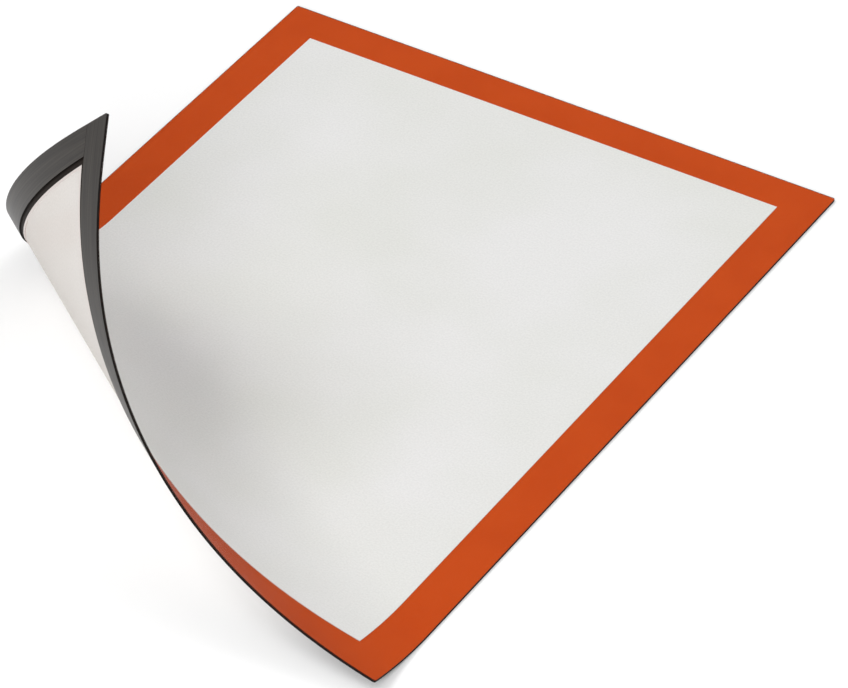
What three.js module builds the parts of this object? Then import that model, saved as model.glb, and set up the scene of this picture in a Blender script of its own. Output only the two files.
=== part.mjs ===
// Magnetic document pocket with one corner peeled up and curled over.
//
// A clear window film lies on a one-piece coloured border. Four strips of flexible magnet
// are bonded to the back of the border. The pocket lies flat on the strips, and its lower
// left corner is lifted and rolled over towards the front.
//
// X runs to the right across the page, Y up the page and Z out of the front.
// The sizes are in millimetres, and the page is drawn flat with its lower left corner at 0, 0.

import * as THREE from 'three';

// Driving dimensions

const WINDOW_WIDTH = 210;
const WINDOW_HEIGHT = 297;
const BORDER_WIDTH = 16.25;
const STRIP_WIDTH = 12.7;
const CORNER_RADIUS = 0.8;

const FILM_THICKNESS = 0.2;
const BORDER_THICKNESS = 0.1;
const STRIP_THICKNESS = 0.7;
const BOND_GAP = 0.02;
const SEAM_GAP = 0.15;

// The curl. Its fold lines fan out from one point beyond the left edge, as the lines of a
// cone do, so the bend is tight on the left edge and broad on the lower edge.
// Heights are measured up the left edge. The turn is how sharply the page bends where the
// curl starts, halfway and where it ends near the tip, each in degrees for the whole curl.

const FAN_POINT = new THREE.Vector2(-366.2, 410.8);
const CURL_START_HEIGHT = 185.25;
const CURL_END_HEIGHT = 15.85;
const TURN_AT_START = 155;
const TURN_HALFWAY = 140.9;
const TURN_AT_END = 24.4;
const FOLD_COUNT = 72;

const QUARTER_STEPS = 6;
const SNAP_DISTANCE = 0.01;

const COLOURS = {
  film: 0xdedfdb,
  border: 0xb84621,
  strip: 0x4e4b48,
};

// Sizes that follow

const PAGE_WIDTH = WINDOW_WIDTH + 2 * BORDER_WIDTH;
const PAGE_HEIGHT = WINDOW_HEIGHT + 2 * BORDER_WIDTH;
const FILM_FRONT = STRIP_THICKNESS + BORDER_THICKNESS + FILM_THICKNESS + 2 * BOND_GAP;
const FILM_BACK = FILM_FRONT - FILM_THICKNESS;
const BORDER_FRONT = FILM_BACK - BOND_GAP;
const BORDER_BACK = BORDER_FRONT - BORDER_THICKNESS;
const STRIP_FRONT = BORDER_BACK - BOND_GAP;
const STRIP_BACK = STRIP_FRONT - STRIP_THICKNESS;

// Fold lines of the curl, from the flat part of the page to the tip of the corner

const turnAt = (t) => {
  const bow = 2 * (TURN_AT_START + TURN_AT_END) - 4 * TURN_HALFWAY;
  const slope = TURN_AT_END - TURN_AT_START - bow;
  return THREE.MathUtils.degToRad(TURN_AT_START + slope * t + bow * t * t);
};

const foldLines = Array.from({ length: FOLD_COUNT }, (_, index) => {
  const t = (index + 0.5) / FOLD_COUNT;
  const height = THREE.MathUtils.lerp(CURL_START_HEIGHT, CURL_END_HEIGHT, t);
  const point = new THREE.Vector2(0, height);
  const direction = point.clone().sub(FAN_POINT).normalize();
  const cornerSide = new THREE.Vector2(direction.y, -direction.x);
  return { point, direction, cornerSide, turn: turnAt(t) / FOLD_COUNT };
});

// How far a point of the flat page lies beyond a fold line, towards the curled corner
const distanceBeyond = (line, [x, y]) =>
  (x - line.point.x) * line.cornerSide.x + (y - line.point.y) * line.cornerSide.y;

// The turned place of each flat facet: the page's own place, then one more turn at each line
const facetPlaces = [new THREE.Matrix4()];
for (const line of foldLines) {
  const axis = new THREE.Vector3(line.direction.x, line.direction.y, 0);
  const turn = new THREE.Matrix4().makeTranslation(line.point.x, line.point.y, FILM_FRONT);
  turn.multiply(new THREE.Matrix4().makeRotationAxis(axis, -line.turn));
  turn.multiply(new THREE.Matrix4().makeTranslation(-line.point.x, -line.point.y, -FILM_FRONT));
  facetPlaces.push(facetPlaces.at(-1).clone().multiply(turn));
}

const facetNormal = (index) => new THREE.Vector3(0, 0, 1).transformDirection(facetPlaces[index]);

// Where a point of the flat page comes to lie. Along a fold line the direction square to
// the page is mitred, so that every layer keeps its thickness through the bend.
const curledPoint = ([x, y], z) => {
  const facet = foldLines.filter((line) => distanceBeyond(line, [x, y]) > SNAP_DISTANCE).length;
  const onFront = new THREE.Vector3(x, y, FILM_FRONT).applyMatrix4(facetPlaces[facet]);
  const square = facetNormal(facet);
  const next = foldLines[facet];
  if (next && Math.abs(distanceBeyond(next, [x, y])) <= SNAP_DISTANCE) {
    const nextSquare = facetNormal(facet + 1);
    const scale = 1 / (1 + square.dot(nextSquare));
    square.add(nextSquare).multiplyScalar(scale);
  }
  return onFront.addScaledVector(square, z - FILM_FRONT);
};

// Flat cells. A cell is a convex polygon of the flat page, as a list of its corners.

// Where the edge from a to b crosses a fold line. The sum runs the same way for both
// cells that share the edge, so that they get the same point.
const crossingOn = (a, b, distanceA, distanceB) => {
  const swap = a[0] > b[0] || (a[0] === b[0] && a[1] > b[1]);
  const [p, q, dp, dq] = swap ? [b, a, distanceB, distanceA] : [a, b, distanceA, distanceB];
  const share = dp / (dp - dq);
  return [p[0] + (q[0] - p[0]) * share, p[1] + (q[1] - p[1]) * share];
};

// Cuts one cell at a fold line into the part before it and the part beyond it
const splitCell = (cell, line) => {
  const before = [];
  const beyond = [];
  cell.forEach((corner, index) => {
    const following = cell[(index + 1) % cell.length];
    const here = distanceBeyond(line, corner);
    const there = distanceBeyond(line, following);
    if (here <= SNAP_DISTANCE) {
      before.push(corner);
    }
    if (here >= -SNAP_DISTANCE) {
      beyond.push(corner);
    }
    if (Math.min(here, there) < -SNAP_DISTANCE && Math.max(here, there) > SNAP_DISTANCE) {
      const crossing = crossingOn(corner, following, here, there);
      before.push(crossing);
      beyond.push(crossing);
    }
  });
  const spans = (part, sign) =>
    part.length > 2 && part.some((corner) => distanceBeyond(line, corner) * sign > SNAP_DISTANCE);
  return [spans(before, -1) ? before : null, spans(beyond, 1) ? beyond : null];
};

const cutAtFoldLines = (cells) => {
  const pieces = [];
  for (const cell of cells) {
    let rest = cell;
    for (const line of foldLines) {
      if (!rest) {
        break;
      }
      const [before, beyond] = splitCell(rest, line);
      if (before) {
        pieces.push(before);
      }
      rest = beyond;
    }
    if (rest) {
      pieces.push(rest);
    }
  }
  return pieces;
};

// One closed layer made of flat cells: each cell gives a front and a back face, and each
// edge that belongs to one cell only gives a wall between them.
const curledLayer = (cells, back, front) => {
  const positions = [];
  const numbers = new Map();
  const numberOf = (corner) => {
    const key = corner.map((value) => value.toFixed(4)).join(' ');
    if (!numbers.has(key)) {
      numbers.set(key, positions.length / 3);
      positions.push(...curledPoint(corner, front).toArray());
      positions.push(...curledPoint(corner, back).toArray());
    }
    return numbers.get(key);
  };
  const rings = cutAtFoldLines(cells).map((cell) => cell.map(numberOf));
  const edgesOf = (ring) => ring.map((corner, i) => [corner, ring[(i + 1) % ring.length]]);
  const edges = new Set(rings.flatMap(edgesOf).map(([a, b]) => `${a} ${b}`));
  const faces = [];
  for (const ring of rings) {
    for (let i = 1; i < ring.length - 1; i += 1) {
      faces.push(ring[0], ring[i], ring[i + 1]);
      faces.push(ring[0] + 1, ring[i + 1] + 1, ring[i] + 1);
    }
    for (const [a, b] of edgesOf(ring)) {
      if (!edges.has(`${b} ${a}`)) {
        faces.push(b, a, a + 1);
        faces.push(b, a + 1, b + 1);
      }
    }
  }
  const geometry = new THREE.BufferGeometry();
  geometry.setAttribute('position', new THREE.Float32BufferAttribute(positions, 3));
  geometry.setIndex(faces);
  return geometry;
};

// Outlines of the layers

// A quarter round at a corner of the page, from angle start to angle end in degrees
const roundCorner = (right, top, start, end) => {
  const centreX = right ? PAGE_WIDTH - CORNER_RADIUS : CORNER_RADIUS;
  const centreY = top ? PAGE_HEIGHT - CORNER_RADIUS : CORNER_RADIUS;
  const steps = Math.round((QUARTER_STEPS * Math.abs(end - start)) / 90);
  return Array.from({ length: steps + 1 }, (_, i) => {
    const angle = THREE.MathUtils.degToRad(start + ((end - start) * i) / steps);
    return [centreX + CORNER_RADIUS * Math.cos(angle), centreY + CORNER_RADIUS * Math.sin(angle)];
  });
};

const pageOutline = [
  ...roundCorner(false, false, 180, 270),
  ...roundCorner(true, false, 270, 360),
  ...roundCorner(true, true, 0, 90),
  ...roundCorner(false, true, 90, 180),
];

// The border is a frame in one piece. Its four sides meet on the diagonals of the corners.
const windowLeft = BORDER_WIDTH;
const windowRight = PAGE_WIDTH - BORDER_WIDTH;
const windowBottom = BORDER_WIDTH;
const windowTop = PAGE_HEIGHT - BORDER_WIDTH;
const borderSides = [
  [
    ...roundCorner(false, false, 225, 270),
    ...roundCorner(true, false, 270, 315),
    [windowRight, windowBottom],
    [windowLeft, windowBottom],
  ],
  [
    ...roundCorner(true, false, 315, 360),
    ...roundCorner(true, true, 0, 45),
    [windowRight, windowTop],
    [windowRight, windowBottom],
  ],
  [
    ...roundCorner(true, true, 45, 90),
    ...roundCorner(false, true, 90, 135),
    [windowLeft, windowTop],
    [windowRight, windowTop],
  ],
  [
    ...roundCorner(false, true, 135, 180),
    ...roundCorner(false, false, 180, 225),
    [windowLeft, windowBottom],
    [windowLeft, windowTop],
  ],
];

// The upper and lower strips run the full width. The side strips butt against them.
const lowerStrip = [
  ...roundCorner(false, false, 180, 270),
  ...roundCorner(true, false, 270, 360),
  [PAGE_WIDTH, STRIP_WIDTH],
  [0, STRIP_WIDTH],
];
const upperStrip = [
  [0, PAGE_HEIGHT - STRIP_WIDTH],
  [PAGE_WIDTH, PAGE_HEIGHT - STRIP_WIDTH],
  ...roundCorner(true, true, 0, 90),
  ...roundCorner(false, true, 90, 180),
];
const sideStrip = (left) => [
  [left, STRIP_WIDTH + SEAM_GAP],
  [left + STRIP_WIDTH, STRIP_WIDTH + SEAM_GAP],
  [left + STRIP_WIDTH, PAGE_HEIGHT - STRIP_WIDTH - SEAM_GAP],
  [left, PAGE_HEIGHT - STRIP_WIDTH - SEAM_GAP],
];

// The pieces

const piece = (name, geometry, color, roughness, extra = {}) => {
  const material = new THREE.MeshStandardMaterial({ color, roughness, metalness: 0, ...extra });
  const mesh = new THREE.Mesh(geometry, material);
  mesh.name = name;
  return mesh;
};
const magnetStrip = (name, outline) =>
  piece(name, curledLayer([outline], STRIP_BACK, STRIP_FRONT), COLOURS.strip, 0.55);

const pocket = new THREE.Group();
pocket.add(
  piece('window_film', curledLayer([pageOutline], FILM_BACK, FILM_FRONT), COLOURS.film, 0.35, {
    transparent: true,
    opacity: 0.6,
  }),
  piece('coloured_border', curledLayer(borderSides, BORDER_BACK, BORDER_FRONT), COLOURS.border, 0.4),
  magnetStrip('magnet_strip_bottom', lowerStrip),
  magnetStrip('magnet_strip_top', upperStrip),
  magnetStrip('magnet_strip_left', sideStrip(0)),
  magnetStrip('magnet_strip_right', sideStrip(PAGE_WIDTH - STRIP_WIDTH)),
);

// The origin is on the surface that the pocket lies on, below the middle of its outer box
const outerBox = new THREE.Box3().setFromObject(pocket);
const middle = outerBox.getCenter(new THREE.Vector3());
pocket.position.set(-middle.x, -middle.y, -outerBox.min.z);

export default pocket;
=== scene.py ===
"""A magnetic document pocket with one corner peeled up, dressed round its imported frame.

A clear vinyl film lies on a one-piece orange-brown border, and four strips of flexible
magnet are bonded behind the border. All six layers bend together in one smooth curl.
"""

import math

import bpy
import numpy as np
from mathutils import Euler, Matrix, Vector


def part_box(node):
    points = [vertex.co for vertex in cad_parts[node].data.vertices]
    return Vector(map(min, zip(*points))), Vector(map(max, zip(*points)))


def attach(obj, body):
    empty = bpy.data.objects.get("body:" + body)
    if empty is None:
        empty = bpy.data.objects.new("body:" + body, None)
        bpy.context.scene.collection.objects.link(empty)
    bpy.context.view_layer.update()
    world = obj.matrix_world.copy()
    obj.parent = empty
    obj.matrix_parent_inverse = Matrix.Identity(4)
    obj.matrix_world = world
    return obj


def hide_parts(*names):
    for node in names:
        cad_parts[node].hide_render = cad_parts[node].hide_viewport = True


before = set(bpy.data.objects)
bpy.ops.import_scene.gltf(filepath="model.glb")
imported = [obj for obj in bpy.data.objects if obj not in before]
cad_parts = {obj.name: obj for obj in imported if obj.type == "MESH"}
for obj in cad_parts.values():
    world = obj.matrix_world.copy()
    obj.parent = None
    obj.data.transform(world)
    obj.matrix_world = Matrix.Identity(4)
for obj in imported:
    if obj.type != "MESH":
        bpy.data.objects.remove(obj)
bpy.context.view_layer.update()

bl_info = {
    "name": "Magnetic Document Pocket",
    "version": (1, 0, 0),
    "blender": (4, 5, 0),
    "location": "View3D > Sidebar > Pocket",
    "description": "Builds a clear document pocket with a coloured border and magnet strips",
    "category": "Add Mesh",
}

MM = 0.001
BODY = "root"
PAGE_MAP = "page"

# How finely the smooth bend is drawn, and how near to a fold line a point counts as on it
FOLD_COUNT = 216
SNAP_DISTANCE = 0.01 * MM
QUARTER_STEPS = 8
SHARP_ANGLE = math.radians(30)

# The view of the photograph, in the frame of the part
CAMERA_PLACE = (0.890664, -1.378292, 1.291246)
CAMERA_TURN = (51.599401, -0.017699, 31.709371)
CAMERA_LENS = 240.121
CAMERA_SENSOR = 36.0
HALF_PIXEL = 0.5 / 848  # of the photograph's width in pixels


def linear(hex_colour):
    """The linear colour of an sRGB hex value such as #B84621."""
    values = []
    for start in (1, 3, 5):
        value = int(hex_colour[start:start + 2], 16) / 255
        values.append(value / 12.92 if value <= 0.04045 else ((value + 0.055) / 1.055) ** 2.4)
    return tuple(values)


def with_alpha(colour):
    """A colour property as the four numbers that a colour socket takes."""
    return (*colour, 1.0)


# Sizes and colours that a user would change


def length(name, description, millimetres):
    """A length property, given in millimetres and kept in metres."""
    return bpy.props.FloatProperty(
        name=name,
        description=description,
        default=millimetres * MM,
        min=0.0,
        unit="LENGTH",
        precision=5,
    )


def turn(name, description, degrees):
    """A property for how sharply the page bends, given in degrees."""
    return bpy.props.FloatProperty(
        name=name,
        description=description + ", as a turn for the whole curl",
        default=math.radians(degrees),
        unit="ROTATION",
    )


def colour(name, description, hex_colour):
    """A colour property, given as an sRGB hex value and kept as a linear colour."""
    return bpy.props.FloatVectorProperty(
        name=name,
        description=description,
        default=linear(hex_colour),
        min=0.0,
        max=1.0,
        size=3,
        subtype="COLOR",
    )


class PocketSizes(bpy.types.PropertyGroup):
    """The flat sizes of the page and the thickness of its layers."""

    window_width: length("Window width", "Width of the clear window, that of an A4 sheet", 210)
    window_height: length("Window height", "Height of the clear window, that of an A4 sheet", 297)
    border_width: length("Border width", "Width of the coloured border round the window", 16.25)
    pale_margin: length("Pale margin", "Width of the pale margin on the back of the border", 1.25)
    strip_width: length("Strip width", "Width of each magnet strip, half an inch", 12.7)
    corner_radius: length("Corner radius", "Rounding of the four outer corners", 0.8)
    film_thickness: length("Film thickness", "Thickness of the clear window film", 0.2)
    border_thickness: length("Border thickness", "Thickness of the coloured foil", 0.1)
    strip_thickness: length("Strip thickness", "Thickness of the flexible magnet", 0.7)
    bond_gap: length("Bond gap", "Clearance that stands for a layer of adhesive", 0.02)
    seam_gap: length("Seam gap", "Clearance of the butt joints between the strips", 0.15)


class PocketCurl(bpy.types.PropertyGroup):
    """The cone-like bend that lifts the lower left corner."""

    fan_left: length("Fan point left", "How far left of the page the fold lines meet", 366.2)
    fan_up: length("Fan point up", "How far above the lower edge the fold lines meet", 410.8)
    start_height: length("Curl start", "Height on the left edge where the curl starts", 185.25)
    end_height: length("Curl end", "Height on the left edge where the curl ends", 15.85)
    turn_at_start: turn("Turn at the start", "How sharply the page bends where the curl starts", 155)
    turn_halfway: turn("Turn halfway", "How sharply the page bends halfway along the curl", 140.9)
    turn_at_end: turn("Turn at the end", "How sharply the page bends where the curl ends", 24.4)


class PocketColours(bpy.types.PropertyGroup):
    """The colours of the materials, as they look in plain light."""

    film: colour("Film", "The milky veil of the matt clear film", "#F2F2F1")
    film_shade: colour("Film shade", "The faint cloudiness in the film", "#EDEEEA")
    # Painted shade: the underside is the same clear film as the face, coloured darker and warmer than it
    film_underside_painted_shade: colour("Film underside", "Underside of the clear film", "#E0DBD7")
    film_underside_painted_shade_cloud: colour("Film underside shade", "Darker clouds on the underside", "#DAD4CF")
    border: colour("Border", "Face of the coloured foil", "#C84F1B")
    border_shade: colour("Border shade", "The foil where its pigment is thicker", "#C34B19")
    # Painted shade: dark brown on the foil's back beside the strips, for the shadow of the strip walls; the
    # same brown also tints the magnet's slit edges
    shaded_back_and_tooth_brown: colour("Border back", "Uncoloured back of the foil", "#1E1814")
    border_margin: colour("Border margin", "Pale margin of the foil's back along the window", "#C6BEBA")
    # Painted shade: the cut edges of the clear film and the orange foil are coloured near-black
    cut_edge_painted_shade: colour("Cut edge", "Cut edge of the bonded foil and film", "#170A06")
    magnet: colour("Magnet", "Face of the flexible magnet", "#242120")
    magnet_streak: colour("Magnet streak", "Pale streaks left by the rollers", "#3F3B36")
    magnet_edge: colour("Magnet edge", "Slit edge of the flexible magnet", "#120E0C")
    floor: colour("Floor", "Plain pale floor", "#FAFAFA")


# The bend


class Curl:
    """Turns points of the flat page into points of the curled one."""

    def __init__(self, scene):
        sizes = scene.pocket_sizes
        curl = scene.pocket_curl
        self.front = self.film_front(sizes)
        fold_spacing = (curl.start_height - curl.end_height) / FOLD_COUNT
        bow = 2 * (curl.turn_at_start + curl.turn_at_end) - 4 * curl.turn_halfway
        slope = curl.turn_at_end - curl.turn_at_start - bow
        fan = Vector((-curl.fan_left, curl.fan_up))
        self.points = []
        self.sides = []
        self.places = [Matrix.Identity(4)]
        for index in range(FOLD_COUNT):
            t = (index + 0.5) / FOLD_COUNT
            point = Vector((0.0, curl.start_height - fold_spacing * (index + 0.5)))
            along = (point - fan).normalized()
            bend = (curl.turn_at_start + slope * t + bow * t * t) / FOLD_COUNT
            pivot = Vector((point.x, point.y, self.front))
            turned = (
                Matrix.Translation(pivot)
                @ Matrix.Rotation(-bend, 4, Vector((along.x, along.y, 0.0)))
                @ Matrix.Translation(-pivot)
            )
            self.points.append(point)
            self.sides.append(Vector((along.y, -along.x)))
            self.places.append(self.places[-1] @ turned)
        self.point_array = np.array(self.points)
        self.side_array = np.array(self.sides)
        page_height = sizes.window_height + 2 * sizes.border_width
        low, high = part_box("magnet_strip_top")
        self.page_corner = Vector((low.x, high.y - page_height, low.z))

    @staticmethod
    def film_front(sizes):
        """Height of the film's face above the surface that the strips lie on."""
        return sizes.strip_thickness + sizes.border_thickness + sizes.film_thickness + 2 * sizes.bond_gap

    def beyond(self, index, corner):
        """How far a point of the flat page lies beyond a fold line, towards the curled corner."""
        offset_x = corner[0] - self.points[index].x
        offset_y = corner[1] - self.points[index].y
        return offset_x * self.sides[index].x + offset_y * self.sides[index].y

    def place(self, corner, height):
        """Where a point of the flat page comes to lie, in the frame of the part."""
        distances = ((np.array(corner) - self.point_array) * self.side_array).sum(axis=1)
        facet = int((distances > SNAP_DISTANCE).sum())
        on_front = self.places[facet] @ Vector((corner[0], corner[1], self.front))
        square = self.places[facet].to_3x3() @ Vector((0.0, 0.0, 1.0))
        if facet < FOLD_COUNT and abs(distances[facet]) <= SNAP_DISTANCE:
            next_square = self.places[facet + 1].to_3x3() @ Vector((0.0, 0.0, 1.0))
            square = (square + next_square) / (1 + square.dot(next_square))
        return on_front + square * (height - self.front) + self.page_corner

    def split(self, cell, index):
        """Cuts one cell at a fold line into the part before it and the part beyond it."""
        before = []
        past = []
        for corner, following in zip(cell, cell[1:] + cell[:1]):
            here = self.beyond(index, corner)
            there = self.beyond(index, following)
            if here <= SNAP_DISTANCE:
                before.append(corner)
            if here >= -SNAP_DISTANCE:
                past.append(corner)
            if min(here, there) < -SNAP_DISTANCE and max(here, there) > SNAP_DISTANCE:
                # Both cells that share an edge cut it from the same end, so that the cuts meet
                first, last, at_first, at_last = corner, following, here, there
                if corner > following:
                    first, last, at_first, at_last = following, corner, there, here
                share = at_first / (at_first - at_last)
                crossing = tuple(a + (b - a) * share for a, b in zip(first, last))
                before.append(crossing)
                past.append(crossing)
        if len(before) < 3 or min(self.beyond(index, c) for c in before) > -SNAP_DISTANCE:
            before = None
        if len(past) < 3 or max(self.beyond(index, c) for c in past) < SNAP_DISTANCE:
            past = None
        return before, past

    def cut(self, cell):
        """Cuts a cell of the flat page at every fold line that crosses it."""
        parts = []
        rest = cell
        for index in range(FOLD_COUNT):
            before, rest = self.split(rest, index)
            if before:
                parts.append(before)
            if not rest:
                return parts
        parts.append(rest)
        return parts


# Outlines on the flat page, as lists of corners that run anticlockwise


def page_size(sizes):
    """Width and height of the whole page with its border."""
    return sizes.window_width + 2 * sizes.border_width, sizes.window_height + 2 * sizes.border_width


def round_corner(sizes, right, top, start, end):
    """The rounding of one corner of the page, from one angle to another in degrees."""
    width, height = page_size(sizes)
    radius = sizes.corner_radius
    centre_x = width - radius if right else radius
    centre_y = height - radius if top else radius
    steps = round(QUARTER_STEPS * (end - start) / 90)
    angles = [math.radians(start + (end - start) * i / steps) for i in range(steps + 1)]
    return [(centre_x + radius * math.cos(a), centre_y + radius * math.sin(a)) for a in angles]


def window_corners(sizes, margin=0.0):
    """The corners of the window, or of a frame so much wider than it."""
    width, height = page_size(sizes)
    inset = sizes.border_width - margin
    return [(inset, inset), (width - inset, inset), (width - inset, height - inset), (inset, height - inset)]


def border_sides(sizes, margin=0.0):
    """The four sides of the one-piece border, which meet on the diagonals of its corners."""
    lower_left, lower_right, upper_right, upper_left = window_corners(sizes, margin)
    return [
        round_corner(sizes, False, False, 225, 270)
        + round_corner(sizes, True, False, 270, 315)
        + [lower_right, lower_left],
        round_corner(sizes, True, False, 315, 360)
        + round_corner(sizes, True, True, 0, 45)
        + [upper_right, lower_right],
        round_corner(sizes, True, True, 45, 90)
        + round_corner(sizes, False, True, 90, 135)
        + [upper_left, upper_right],
        round_corner(sizes, False, True, 135, 180)
        + round_corner(sizes, False, False, 180, 225)
        + [lower_left, upper_left],
    ]


def margin_sides(sizes):
    """The four narrow sides between the window and the outer part of the border."""
    inner = window_corners(sizes)
    outer = window_corners(sizes, sizes.pale_margin)
    return [(outer[i], outer[(i + 1) % 4], inner[(i + 1) % 4], inner[i]) for i in range(4)]


def strip_outlines(sizes):
    """Node name, outline and whether the strip runs up the page, for each magnet strip."""
    width, height = page_size(sizes)
    strip = sizes.strip_width
    low = strip + sizes.seam_gap
    high = height - strip - sizes.seam_gap
    lower = (
        round_corner(sizes, False, False, 180, 270)
        + round_corner(sizes, True, False, 270, 360)
        + [(width, strip), (0.0, strip)]
    )
    upper = (
        [(0.0, height - strip), (width, height - strip)]
        + round_corner(sizes, True, True, 0, 90)
        + round_corner(sizes, False, True, 90, 180)
    )
    left = [(0.0, low), (strip, low), (strip, high), (0.0, high)]
    right = [(width - strip, low), (width, low), (width, high), (width - strip, high)]
    return [
        ("magnet_strip_bottom", lower, False),
        ("magnet_strip_top", upper, False),
        ("magnet_strip_left", left, True),
        ("magnet_strip_right", right, True),
    ]


# Meshes


def curled_layer(curl, cells, back, front, upright=False):
    """One closed layer. Each cell is an outline and the material numbers of its front, back
    and wall; a wall stands on each edge that belongs to one cell only. The page map keeps
    where each corner was on the flat page, turned so that its first value runs along a strip.
    """
    points = []
    flat = []
    numbers = {}

    def number(corner):
        key = (round(corner[0], 7), round(corner[1], 7))
        if key not in numbers:
            numbers[key] = len(points)
            points.append(curl.place(corner, front))
            points.append(curl.place(corner, back))
            flat.extend([corner, corner])
        return numbers[key]

    rings = []
    for outline, materials in cells:
        for part in curl.cut(list(outline)):
            rings.append(([number(corner) for corner in part], materials))
    edges = {(a, b) for ring, _ in rings for a, b in zip(ring, ring[1:] + ring[:1])}
    faces = []
    face_materials = []
    for ring, (front_material, back_material, wall_material) in rings:
        faces.append(ring)
        faces.append([a + 1 for a in reversed(ring)])
        face_materials.extend([front_material, back_material])
        for a, b in zip(ring, ring[1:] + ring[:1]):
            if (b, a) not in edges:
                faces.append([b, a, a + 1, b + 1])
                face_materials.append(wall_material)

    mesh = bpy.data.meshes.new("layer")
    mesh.from_pydata(points, [], faces)
    mesh.polygons.foreach_set("material_index", face_materials)
    page_map = mesh.uv_layers.new(name=PAGE_MAP)
    for loop in mesh.loops:
        x, y = flat[loop.vertex_index]
        page_map.data[loop.index].uv = (y, x) if upright else (x, y)
    mesh.shade_smooth()
    mesh.set_sharp_from_angle(angle=SHARP_ANGLE)
    if mesh.validate():
        raise RuntimeError("A layer of the pocket has faces that are not valid")
    return mesh


def finish_piece(name, mesh, materials, node):
    """Adds a layer to the scene in place of its frame node."""
    mesh.name = name
    for material in materials:
        mesh.materials.append(material)
    piece = bpy.data.objects.new(name, mesh)
    bpy.context.scene.collection.objects.link(piece)
    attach(piece, BODY)
    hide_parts(node)


# Materials


def add_node(tree, kind, settings=None, links=None):
    """Adds a node. Settings name its sockets or its options, and links feed its sockets."""
    node = tree.nodes.new(kind)
    for name, value in (settings or {}).items():
        if isinstance(name, int) or name in node.inputs:
            node.inputs[name].default_value = value
        else:
            setattr(node, name, value)
    for name, source in (links or {}).items():
        tree.links.new(source, node.inputs[name])
    return node


def new_material(name):
    """An empty material and its node tree."""
    material = bpy.data.materials.new(name)
    material.use_nodes = True
    material.node_tree.nodes.clear()
    return material, material.node_tree


def page_noise(tree, size_along, size_across, detail=2.0):
    """Noise whose grains are so many millimetres along and across the flat page."""
    page = add_node(tree, "ShaderNodeUVMap", {"uv_map": PAGE_MAP})
    scale = (1 / (size_along * MM), 1 / (size_across * MM), 1.0)
    mapping = add_node(tree, "ShaderNodeMapping", {"Scale": scale}, {"Vector": page.outputs["UV"]})
    return add_node(
        tree,
        "ShaderNodeTexNoise",
        {"Scale": 1.0, "Detail": detail, "Roughness": 0.55},
        {"Vector": mapping.outputs["Vector"]},
    )


# Sockets of the mix node by number, as those for colours share their names with others
MIX_SHARE = 0
MIX_FIRST = 6
MIX_SECOND = 7
MIX_RESULT = 2


def two_colours(tree, noise, first, second, low, high):
    """A colour that wanders between two as the noise goes from low to high."""
    share = add_node(
        tree,
        "ShaderNodeMapRange",
        {"From Min": low, "From Max": high, "To Min": 0.0, "To Max": 1.0},
        {"Value": noise.outputs["Fac"]},
    )
    mix = add_node(
        tree,
        "ShaderNodeMix",
        {"data_type": "RGBA", MIX_FIRST: with_alpha(first), MIX_SECOND: with_alpha(second)},
        {MIX_SHARE: share.outputs["Result"]},
    )
    return mix.outputs[MIX_RESULT]


def grained(tree, base, noise, darkest):
    """A colour darkened here and there by a noise, down to a share of itself."""
    share = add_node(
        tree,
        "ShaderNodeMapRange",
        {"From Min": 0.3, "From Max": 0.7, "To Min": darkest, "To Max": 1.0},
        {"Value": noise.outputs["Fac"]},
    )
    scaled = add_node(
        tree,
        "ShaderNodeVectorMath",
        {"operation": "SCALE"},
        {0: base, "Scale": share.outputs["Result"]},
    )
    return scaled.outputs["Vector"]


def grain_bump(tree, noise, depth, strength):
    """A bump of so many millimetres from a noise."""
    return add_node(
        tree,
        "ShaderNodeBump",
        {"Strength": strength, "Distance": depth * MM},
        {"Height": noise.outputs["Fac"]},
    ).outputs["Normal"]


def shade(tree, settings, links=None):
    """The surface shader and the output of a material."""
    surface = add_node(tree, "ShaderNodeBsdfPrincipled", settings, links)
    add_node(tree, "ShaderNodeOutputMaterial", links={"Surface": surface.outputs["BSDF"]})


# The film's face is calendered vinyl with a fine anti-glare emboss. Real grains are about
# 0.1 mm; they are drawn 0.8 mm wide, so that the faint sparkle shows at this distance.
GRAIN_SIZE = 0.8
GRAIN_DEPTH = 0.012
GRAIN_SHADE = 0.93

# Width of the wide, faint clouds in the film, in the foil and in the painted shade on the foil's back
FILM_CLOUD = 70
FOIL_CLOUD = 25
BACK_SHADE_CLOUD = 6

# How much of the film's face and of its underside is veil, the rest being clear, and how
# much of the light on the film goes through it and comes out spread
FACE_VEIL = 0.9
UNDERSIDE_VEIL = 0.7
FILM_TRANSLUCENCY = 0.12


def matt_clear_vinyl(name, pale, dark, veil):
    """Embossed vinyl, calendered: a milky veil with a broad soft gloss, through which the
    pale ground and the light from behind come faintly."""
    material, tree = new_material(name)
    cloud = page_noise(tree, FILM_CLOUD, FILM_CLOUD)
    grain = page_noise(tree, GRAIN_SIZE, GRAIN_SIZE, detail=1.0)
    milky = grained(tree, two_colours(tree, cloud, pale, dark, 0.35, 0.65), grain, GRAIN_SHADE)
    surface = add_node(
        tree,
        "ShaderNodeBsdfPrincipled",
        {"Roughness": 0.5, "IOR": 1.5, "Specular IOR Level": 0.1, "Alpha": veil},
        {"Base Color": milky, "Normal": grain_bump(tree, grain, GRAIN_DEPTH, 0.6)},
    )
    through = add_node(tree, "ShaderNodeBsdfTranslucent", links={"Color": milky})
    mix = add_node(
        tree,
        "ShaderNodeMixShader",
        {0: FILM_TRANSLUCENCY},
        {1: surface.outputs["BSDF"], 2: through.outputs["BSDF"]},
    )
    add_node(tree, "ShaderNodeOutputMaterial", links={"Surface": mix.outputs["Shader"]})
    return material


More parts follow.
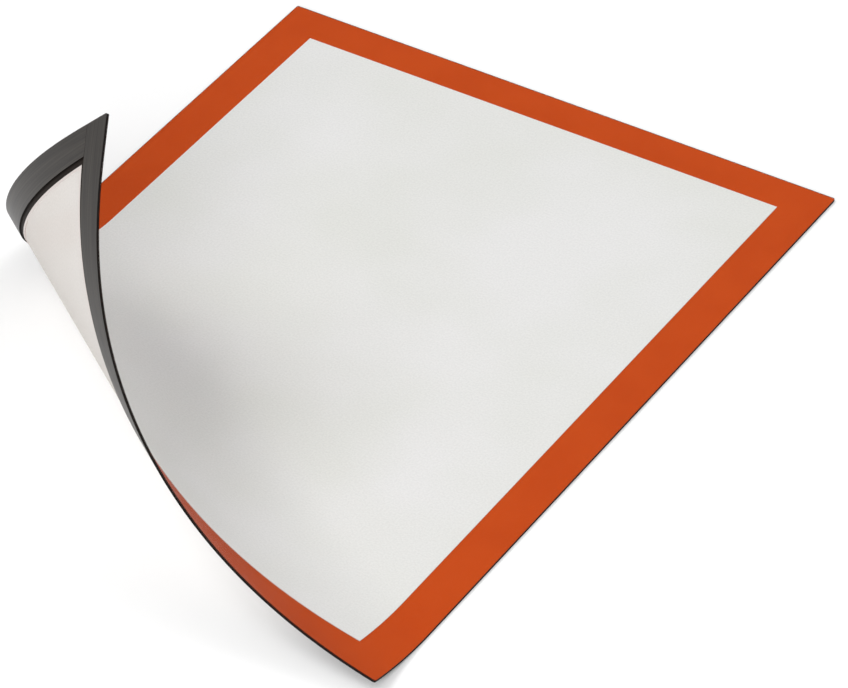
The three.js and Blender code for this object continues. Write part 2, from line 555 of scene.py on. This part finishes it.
def bonded_clear_vinyl(colours):
    """The same film where adhesive wets it out on the border: only its gloss is left."""
    material, tree = new_material("clear_vinyl_bonded_over_border")
    grain = page_noise(tree, GRAIN_SIZE, GRAIN_SIZE, detail=1.0)
    shade(
        tree,
        {
            "Base Color": with_alpha(colours.border),
            "Roughness": 0.42,
            "IOR": 1.53,
            "Specular IOR Level": 0.05,
            "Alpha": 0.1,
        },
        {"Normal": grain_bump(tree, grain, GRAIN_DEPTH, 0.6)},
    )
    return material


def pigmented_foil(colours):
    """Pigmented vinyl foil, smooth from the roller: a deep even colour under a satin sheen."""
    material, tree = new_material("orange_brown_vinyl_foil")
    cloud = page_noise(tree, FOIL_CLOUD, FOIL_CLOUD)
    grain = page_noise(tree, GRAIN_SIZE, GRAIN_SIZE, detail=1.0)
    pigment = two_colours(tree, cloud, colours.border, colours.border_shade, 0.4, 0.7)
    shade(
        tree,
        {"Roughness": 0.38, "IOR": 1.5, "Specular IOR Level": 0.06},
        {
            "Base Color": grained(tree, pigment, grain, GRAIN_SHADE),
            "Normal": grain_bump(tree, grain, GRAIN_DEPTH, 0.6),
        },
    )
    return material


def painted_shade_foil_back(colours):
    """The dull back of the foil, seen beside the strips: a painted shade of dark brown clouded with near
    black, for the shadow of the strips' walls.
    """
    material, tree = new_material("foil_back_painted_shade")
    cloud = page_noise(tree, BACK_SHADE_CLOUD, BACK_SHADE_CLOUD)
    shade(
        tree,
        {"Roughness": 0.6, "IOR": 1.5, "Specular IOR Level": 0.08},
        {"Base Color": two_colours(tree, cloud, colours.shaded_back_and_tooth_brown, colours.magnet_edge, 0.45, 0.9)},
    )
    return material


def foil_back_margin(colours):
    """The back of the foil along the window: a thin pale matt line, lighter than the painted shade beside
    it.
    """
    material, tree = new_material("foil_back_pale_margin")
    shade(
        tree,
        {"Base Color": with_alpha(colours.border_margin), "Roughness": 0.5, "Specular IOR Level": 0.2},
    )
    return material


def shaded_vinyl_edge(name, colours):
    """Die-cut edge of vinyl bonded to dark layers, coloured near-black as a painted shade, since no light
    comes back out of it.
    """
    material, tree = new_material(name)
    shade(
        tree,
        {"Base Color": with_alpha(colours.cut_edge_painted_shade), "Roughness": 0.6, "Specular IOR Level": 0.1},
    )
    return material


# Ferrite-filled rubber is extruded and calendered, which leaves faint streaks several
# centimetres long. Real ones are about 0.3 mm wide; they are drawn 0.9 mm wide, so that
# they show at this distance. The slit edge has a tooth of torn rubber.
STREAK_LENGTH = 60
STREAK_WIDTH = 0.9
STREAK_DEPTH = 0.01
EDGE_TOOTH = 1.5


def flexible_magnet(colours):
    """Calendered flexible magnet: satin dark grey-brown that turns pale at a low angle."""
    material, tree = new_material("flexible_magnet_calendered")
    streaks = page_noise(tree, STREAK_LENGTH, STREAK_WIDTH, detail=3.0)
    shade(
        tree,
        {"Roughness": 0.36, "IOR": 1.5, "Specular IOR Level": 0.13},
        {
            "Base Color": two_colours(tree, streaks, colours.magnet, colours.magnet_streak, 0.35, 0.75),
            "Normal": grain_bump(tree, streaks, STREAK_DEPTH, 0.5),
        },
    )
    return material


def slit_magnet_edge(colours):
    """Slit edge of the magnet: rough, nearly black ferrite rubber."""
    material, tree = new_material("flexible_magnet_slit_edge")
    tooth = page_noise(tree, EDGE_TOOTH, EDGE_TOOTH)
    shade(
        tree,
        {"Roughness": 0.7, "IOR": 1.5, "Specular IOR Level": 0.1},
        {"Base Color": two_colours(tree, tooth, colours.magnet_edge, colours.shaded_back_and_tooth_brown, 0.4, 0.9)},
    )
    return material


# Operators: one for each piece or group of like pieces, and one for the stage


class POCKET_OT_window_film(bpy.types.Operator):
    """Makes the clear window film, which covers the whole page."""

    bl_idname = "pocket.window_film"
    bl_label = "Make window film"

    def execute(self, context):
        sizes = context.scene.pocket_sizes
        colours = context.scene.pocket_colours
        front = Curl.film_front(sizes)
        face = 0
        bonded = 1
        edge = 2
        underside = 3
        cells = [(window_corners(sizes), (face, underside, face))]
        cells += [(side, (bonded, bonded, edge)) for side in border_sides(sizes)]
        mesh = curled_layer(Curl(context.scene), cells, front - sizes.film_thickness, front)
        materials = [
            matt_clear_vinyl("matt_clear_vinyl_calendered", colours.film, colours.film_shade, FACE_VEIL),
            bonded_clear_vinyl(colours),
            shaded_vinyl_edge("film_cut_edge_painted_shade", colours),
            # The underside's colours are a painted shade, darker and warmer than the face of the same film
            matt_clear_vinyl(
                "matt_clear_vinyl_underside_painted_shade", colours.film_underside_painted_shade, colours.film_underside_painted_shade_cloud, UNDERSIDE_VEIL
            ),
        ]
        finish_piece("clear_window_film", mesh, materials, "window_film")
        return {"FINISHED"}


class POCKET_OT_border(bpy.types.Operator):
    """Makes the one-piece coloured border that lies behind the film."""

    bl_idname = "pocket.border"
    bl_label = "Make coloured border"

    def execute(self, context):
        sizes = context.scene.pocket_sizes
        colours = context.scene.pocket_colours
        back = sizes.strip_thickness + sizes.bond_gap
        face = 0
        # The back of the foil beside the strips carries a painted shade
        reverse = 1
        margin = 2
        edge = 3
        cells = [(side, (face, reverse, edge)) for side in border_sides(sizes, sizes.pale_margin)]
        cells += [(side, (face, margin, margin)) for side in margin_sides(sizes)]
        mesh = curled_layer(Curl(context.scene), cells, back, back + sizes.border_thickness)
        materials = [
            pigmented_foil(colours),
            painted_shade_foil_back(colours),
            foil_back_margin(colours),
            shaded_vinyl_edge("foil_cut_edge_painted_shade", colours),
        ]
        finish_piece("border_foil", mesh, materials, "coloured_border")
        return {"FINISHED"}


class POCKET_OT_magnet_strips(bpy.types.Operator):
    """Makes the four strips of flexible magnet behind the border."""

    bl_idname = "pocket.magnet_strips"
    bl_label = "Make magnet strips"

    def execute(self, context):
        sizes = context.scene.pocket_sizes
        colours = context.scene.pocket_colours
        curl = Curl(context.scene)
        materials = [flexible_magnet(colours), slit_magnet_edge(colours)]
        face = 0
        edge = 1
        for node, outline, upright in strip_outlines(sizes):
            cells = [(outline, (face, face, edge))]
            mesh = curled_layer(curl, cells, 0.0, sizes.strip_thickness, upright)
            finish_piece(node.replace("magnet", "flexible_magnet"), mesh, materials, node)
        return {"FINISHED"}


class POCKET_OT_stage(bpy.types.Operator):
    """Makes the pale floor, the soft light and the camera."""

    bl_idname = "pocket.stage"
    bl_label = "Make stage"

    FLOOR_SIZE = 6.0
    # The floor lies a hair below the strips, so that the two don't coincide
    FLOOR_DROP = 0.0002
    WHITE = (1.0, 1.0, 1.0, 1.0)
    # How brightly the white world lights the part, and how brightly the camera sees it
    WORLD_LEVEL = 0.46
    BACKGROUND_LEVEL = 1.0
    # Name, place and width in metres, and power in watts
    LAMPS = (
        ("key_softbox", (-1.15, -0.9, 2.2), 1.4, 27.0),
        ("front_softbox", (0.75, -2.05, 1.2), 1.0, 34.5),
        ("fill_softbox", (0.4, 0.6, 0.95), 0.7, 2.7),
    )

    def execute(self, context):
        scene = context.scene
        self.make_floor(scene)
        self.make_world(scene)
        for name, place, width, power in self.LAMPS:
            self.make_lamp(scene, name, place, width, power)
        self.make_camera(scene)
        scene.view_settings.view_transform = "Standard"
        return {"FINISHED"}

    def make_floor(self, scene):
        """A flat card of matt white, pale enough to keep the shadow."""
        half = self.FLOOR_SIZE / 2
        mesh = bpy.data.meshes.new("floor")
        corners = [(-half, -half), (half, -half), (half, half), (-half, half)]
        mesh.from_pydata([(x, y, -self.FLOOR_DROP) for x, y in corners], [], [(0, 1, 2, 3)])
        material, tree = new_material("matt_white_card_floor")
        shade(
            tree,
            {
                "Base Color": with_alpha(scene.pocket_colours.floor),
                "Roughness": 0.9,
                "Specular IOR Level": 0.1,
            },
        )
        mesh.materials.append(material)
        floor = bpy.data.objects.new("floor", mesh)
        scene.collection.objects.link(floor)

    def make_world(self, scene):
        """White all round, brighter to the camera than to the part."""
        world = bpy.data.worlds.new("soft_studio")
        world.use_nodes = True
        tree = world.node_tree
        tree.nodes.clear()
        rays = add_node(tree, "ShaderNodeLightPath")
        lit, seen = [
            add_node(tree, "ShaderNodeBackground", {"Color": self.WHITE, "Strength": level})
            for level in (self.WORLD_LEVEL, self.BACKGROUND_LEVEL)
        ]
        mix = add_node(
            tree,
            "ShaderNodeMixShader",
            links={0: rays.outputs["Is Camera Ray"], 1: lit.outputs[0], 2: seen.outputs[0]},
        )
        add_node(tree, "ShaderNodeOutputWorld", links={"Surface": mix.outputs[0]})
        scene.world = world

    def make_lamp(self, scene, name, place, width, power):
        """A square softbox that faces the middle of the part."""
        light = bpy.data.lights.new(name, "AREA")
        light.shape = "SQUARE"
        light.size = width
        light.energy = power
        lamp = bpy.data.objects.new(name, light)
        lamp.location = place
        lamp.rotation_euler = (-Vector(place)).to_track_quat("-Z", "Y").to_euler()
        scene.collection.objects.link(lamp)

    def make_camera(self, scene):
        """The camera of the photograph."""
        data = bpy.data.cameras.new("photo_view")
        data.sensor_width = CAMERA_SENSOR
        data.lens = CAMERA_LENS
        data.shift_x = -HALF_PIXEL
        data.shift_y = HALF_PIXEL
        camera = bpy.data.objects.new("photo_view", data)
        camera.location = CAMERA_PLACE
        camera.rotation_euler = Euler([math.radians(angle) for angle in CAMERA_TURN])
        scene.collection.objects.link(camera)
        scene.camera = camera


class POCKET_PT_panel(bpy.types.Panel):
    """Lists the pocket's operators, sizes and colours."""

    bl_label = "Magnetic Document Pocket"
    bl_idname = "POCKET_PT_panel"
    bl_space_type = "VIEW_3D"
    bl_region_type = "UI"
    bl_category = "Pocket"

    def draw(self, context):
        layout = self.layout
        for operator in OPERATORS:
            layout.operator(operator.bl_idname)
        scene = context.scene
        for group in (scene.pocket_sizes, scene.pocket_curl, scene.pocket_colours):
            for name in group.__annotations__:
                layout.prop(group, name)


OPERATORS = (POCKET_OT_window_film, POCKET_OT_border, POCKET_OT_magnet_strips, POCKET_OT_stage)
CLASSES = (PocketSizes, PocketCurl, PocketColours, *OPERATORS, POCKET_PT_panel)


def register():
    for cls in CLASSES:
        bpy.utils.register_class(cls)
    bpy.types.Scene.pocket_sizes = bpy.props.PointerProperty(type=PocketSizes)
    bpy.types.Scene.pocket_curl = bpy.props.PointerProperty(type=PocketCurl)
    bpy.types.Scene.pocket_colours = bpy.props.PointerProperty(type=PocketColours)


def unregister():
    del bpy.types.Scene.pocket_sizes
    del bpy.types.Scene.pocket_curl
    del bpy.types.Scene.pocket_colours
    for cls in reversed(CLASSES):
        bpy.utils.unregister_class(cls)


def main():
    register()
    bpy.ops.pocket.stage()
    bpy.ops.pocket.window_film()
    bpy.ops.pocket.border()
    bpy.ops.pocket.magnet_strips()


if __name__ == "__main__":
    main()
